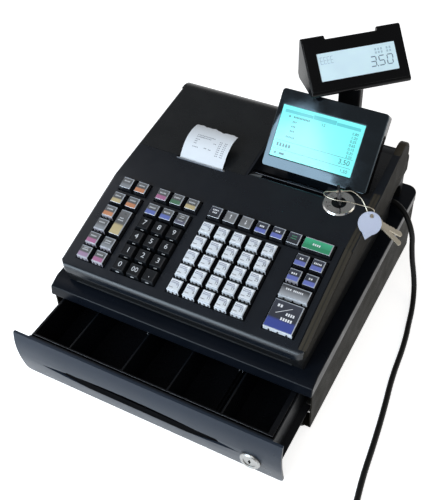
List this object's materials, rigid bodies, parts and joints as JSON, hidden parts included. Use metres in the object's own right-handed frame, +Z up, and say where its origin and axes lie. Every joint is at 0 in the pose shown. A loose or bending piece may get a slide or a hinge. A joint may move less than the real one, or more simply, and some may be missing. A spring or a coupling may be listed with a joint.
{
  "type": "ticket register",
  "caption": "Electronic cash register with a sloping keyboard, tilting and swivelling displays, receipt printer and an open cash drawer below.",
  "frame": {"origin": "on the table, below the centre of the box around the register with its drawer open as at rest, its cord left out", "axes": "+X to the operator's right, +Y to the rear, +Z up"},
  "size_m": [0.5073, 0.556, 0.2902],
  "materials": {
    "cabinet_steel": "satin powder coat",
    "cabinet_plastic": "fine grain",
    "foot_rubber": "matt",
    "runner_steel": "zinc plated",
    "drawer_plastic": "satin",
    "pan_steel": "satin",
    "nylon": "natural nylon",
    "tray_plastic": "satin",
    "divider_plastic": "satin",
    "bright_metal": "polished",
    "base_plastic": "fine grain",
    "case_plastic": "fine grain",
    "inner_plastic": "matt",
    "board_green": "solder mask",
    "core_iron": "laminated",
    "paper_white": "smooth paper",
    "gloss_black": "glossy",
    "screen_cyan": "smooth screen",
    "screen_pale": "smooth screen",
    "key_grey_metal": "dark nickel",
    "wire_steel": "nickel",
    "tag_lilac": "pearl",
    "key_black": "clear cap",
    "key_white": "clear cap",
    "key_lilac": "clear cap",
    "key_cream": "clear cap",
    "key_slate": "clear cap",
    "key_dark": "clear cap",
    "key_green": "clear cap",
    "key_blue": "clear cap",
    "key_grey": "clear cap",
    "cord_black": "satin vinyl"
  },
  "bodies": {
    "register": {"cabinet_shell": "cabinet_steel", "cabinet_cover": "cabinet_plastic", "rubber_feet": "foot_rubber", "runner_rails": "runner_steel", "latch_bracket": "runner_steel", "lower_case": "base_plastic", "upper_case": "case_plastic", "key_plate": "inner_plastic", "main_board": "board_green", "power_transformer": "core_iron", "printer_frame": "inner_plastic", "tear_bar": "bright_metal", "display_base": "gloss_black", "mast_collar": "base_plastic", "mast": "base_plastic", "mode_dial": "bright_metal", "strain_relief": "cord_black", "cord_tube": "cord_black", "cord_coil": "cord_black", "mains_plug": "cord_black"},
    "drawer": {"drawer_front": "drawer_plastic", "drawer_pan": "pan_steel", "till_tray": "tray_plastic", "till_dividers": "divider_plastic", "lock_bezel": "bright_metal"},
    "drawer_wheels": {"drawer_rollers": "nylon"},
    "lock": {"lock_plug": "bright_metal"},
    "latch": {"latch_lever": "runner_steel"},
    "platen": {"platen_roller": "foot_rubber"},
    "roll": {"paper_roll": "paper_white"},
    "printer_lid": {"printer_cover": "case_plastic", "receipt_paper": "paper_white"},
    "operator_display": {"display_case": "case_plastic", "display_bezel": "gloss_black", "display_lcd": "screen_cyan"},
    "customer_display": {"customer_case": "base_plastic", "customer_face": "gloss_black", "customer_lcd": "screen_pale"},
    "mode_switch": {"mode_barrel": "inner_plastic", "mode_key": "key_grey_metal"},
    "key_bunch": {"key_loop": "wire_steel", "key_tag": "tag_lilac", "spare_keys": "wire_steel"},
    "keys_789_body": {"keys_789": "key_black"},
    "keys_456_body": {"keys_456": "key_black"},
    "keys_123_body": {"keys_123": "key_black"},
    "keys_zero_body": {"keys_zero": "key_black"},
    "keys_dept_1_body": {"keys_dept_1": "key_white"},
    "keys_dept_2_body": {"keys_dept_2": "key_white"},
    "keys_dept_3_body": {"keys_dept_3": "key_white"},
    "keys_dept_4_body": {"keys_dept_4": "key_white"},
    "keys_dept_5_body": {"keys_dept_5": "key_white"},
    "keys_left_body": {"keys_left": "key_lilac"},
    "key_tall_body": {"key_tall": "key_cream"},
    "keys_middle_body": {"keys_middle": "key_slate"},
    "keys_top_body": {"keys_top": "key_dark"},
    "key_wide_body": {"key_wide": "key_green"},
    "keys_right_body": {"keys_right": "key_blue"},
    "key_subtotal_body": {"key_subtotal": "key_grey"},
    "key_total_body": {"key_total": "key_blue"}
  },
  "joints": [
    {"name": "drawer_slide", "type": "slide", "parent": "register", "child": "drawer", "axis": [0, -1, 0], "range_m": [-0.0585, 0.15]},
    {"name": "roller_spin", "type": "hinge", "parent": "drawer", "child": "drawer_wheels", "pos_m": [-0.00899, 0.10431, 0.0358], "axis": [1, 0, 0], "range_deg": [-600, 1500]},
    {"name": "lock_turn", "type": "hinge", "parent": "drawer", "child": "lock", "pos_m": [0.12001, -0.20569, 0.031], "axis": [0, 1, 0], "range_deg": [0, 90]},
    {"name": "latch_lift", "type": "hinge", "parent": "register", "child": "latch", "pos_m": [-0.00899, 0.17831, 0.0241], "axis": [-1, 0, 0], "range_deg": [0, 12]},
    {"name": "platen_spin", "type": "hinge", "parent": "register", "child": "platen", "pos_m": [-0.07054, 0.05081, 0.149], "axis": [1, 0, 0], "continuous": true},
    {"name": "roll_spin", "type": "hinge", "parent": "register", "child": "roll", "pos_m": [-0.07054, 0.10481, 0.126], "axis": [1, 0, 0], "continuous": true},
    {"name": "lid_hinge", "type": "hinge", "parent": "register", "child": "printer_lid", "pos_m": [-0.00899, 0.18021, 0.15419], "axis": [-1, 0, 0], "range_deg": [0, 75]},
    {"name": "display_tilt", "type": "hinge", "parent": "register", "child": "operator_display", "pos_m": [0.05981, 0.08145, 0.16856], "axis": [1, 0, 0], "range_deg": [-30, 3]},
    {"name": "customer_swivel", "type": "hinge", "parent": "register", "child": "customer_display", "pos_m": [0.06081, 0.16581, 0.241], "axis": [0, 0, 1], "range_deg": [-43, 137]},
    {"name": "mode_turn", "type": "hinge", "parent": "register", "child": "mode_switch", "pos_m": [0.10101, 0.04081, 0.16305], "axis": [0, -0.1323, 0.9912], "range_deg": [-30, 30]},
    {"name": "bunch_swing", "type": "hinge", "parent": "register", "child": "key_bunch", "pos_m": [0.10101, 0.03818, 0.18277], "axis": [-0.866, -0.4956, -0.0661], "range_deg": [0, 40]},
    {"name": "keys_789_press", "type": "slide", "parent": "register", "child": "keys_789_body", "axis": [0, 0.294, -0.9558], "range_m": [0, 0.003], "stiffness_N_per_m": 150, "springref_m": -0.003},
    {"name": "keys_456_press", "type": "slide", "parent": "register", "child": "keys_456_body", "axis": [0, 0.294, -0.9558], "range_m": [0, 0.003], "stiffness_N_per_m": 150, "springref_m": -0.003},
    {"name": "keys_123_press", "type": "slide", "parent": "register", "child": "keys_123_body", "axis": [0, 0.294, -0.9558], "range_m": [0, 0.003], "stiffness_N_per_m": 150, "springref_m": -0.003},
    {"name": "keys_zero_press", "type": "slide", "parent": "register", "child": "keys_zero_body", "axis": [0, 0.294, -0.9558], "range_m": [0, 0.003], "stiffness_N_per_m": 150, "springref_m": -0.003},
    {"name": "keys_dept_1_press", "type": "slide", "parent": "register", "child": "keys_dept_1_body", "axis": [0, 0.294, -0.9558], "range_m": [0, 0.003], "stiffness_N_per_m": 150, "springref_m": -0.003},
    {"name": "keys_dept_2_press", "type": "slide", "parent": "register", "child": "keys_dept_2_body", "axis": [0, 0.294, -0.9558], "range_m": [0, 0.003], "stiffness_N_per_m": 150, "springref_m": -0.003},
    {"name": "keys_dept_3_press", "type": "slide", "parent": "register", "child": "keys_dept_3_body", "axis": [0, 0.294, -0.9558], "range_m": [0, 0.003], "stiffness_N_per_m": 150, "springref_m": -0.003},
    {"name": "keys_dept_4_press", "type": "slide", "parent": "register", "child": "keys_dept_4_body", "axis": [0, 0.294, -0.9558], "range_m": [0, 0.003], "stiffness_N_per_m": 150, "springref_m": -0.003},
    {"name": "keys_dept_5_press", "type": "slide", "parent": "register", "child": "keys_dept_5_body", "axis": [0, 0.294, -0.9558], "range_m": [0, 0.003], "stiffness_N_per_m": 150, "springref_m": -0.003},
    {"name": "keys_left_press", "type": "slide", "parent": "register", "child": "keys_left_body", "axis": [0, 0.294, -0.9558], "range_m": [0, 0.003], "stiffness_N_per_m": 150, "springref_m": -0.003},
    {"name": "key_tall_press", "type": "slide", "parent": "register", "child": "key_tall_body", "axis": [0, 0.294, -0.9558], "range_m": [0, 0.003], "stiffness_N_per_m": 150, "springref_m": -0.003},
    {"name": "keys_middle_press", "type": "slide", "parent": "register", "child": "keys_middle_body", "axis": [0, 0.294, -0.9558], "range_m": [0, 0.003], "stiffness_N_per_m": 150, "springref_m": -0.003},
    {"name": "keys_top_press", "type": "slide", "parent": "register", "child": "keys_top_body", "axis": [0, 0.294, -0.9558], "range_m": [0, 0.003], "stiffness_N_per_m": 150, "springref_m": -0.003},
    {"name": "key_wide_press", "type": "slide", "parent": "register", "child": "key_wide_body", "axis": [0, 0.294, -0.9558], "range_m": [0, 0.003], "stiffness_N_per_m": 150, "springref_m": -0.003},
    {"name": "keys_right_press", "type": "slide", "parent": "register", "child": "keys_right_body", "axis": [0, 0.294, -0.9558], "range_m": [0, 0.003], "stiffness_N_per_m": 150, "springref_m": -0.003},
    {"name": "key_subtotal_press", "type": "slide", "parent": "register", "child": "key_subtotal_body", "axis": [0, 0.294, -0.9558], "range_m": [0, 0.003], "stiffness_N_per_m": 150, "springref_m": -0.003},
    {"name": "key_total_press", "type": "slide", "parent": "register", "child": "key_total_body", "axis": [0, 0.294, -0.9558], "range_m": [0, 0.003], "stiffness_N_per_m": 150, "springref_m": -0.003}
  ],
  "couplings": [
    {"joint": "roller_spin", "follows": "drawer_slide", "rad_per_m": 166.67},
    {"joint": "roll_spin", "follows": "platen_spin", "ratio": 0.23077}
  ]
}
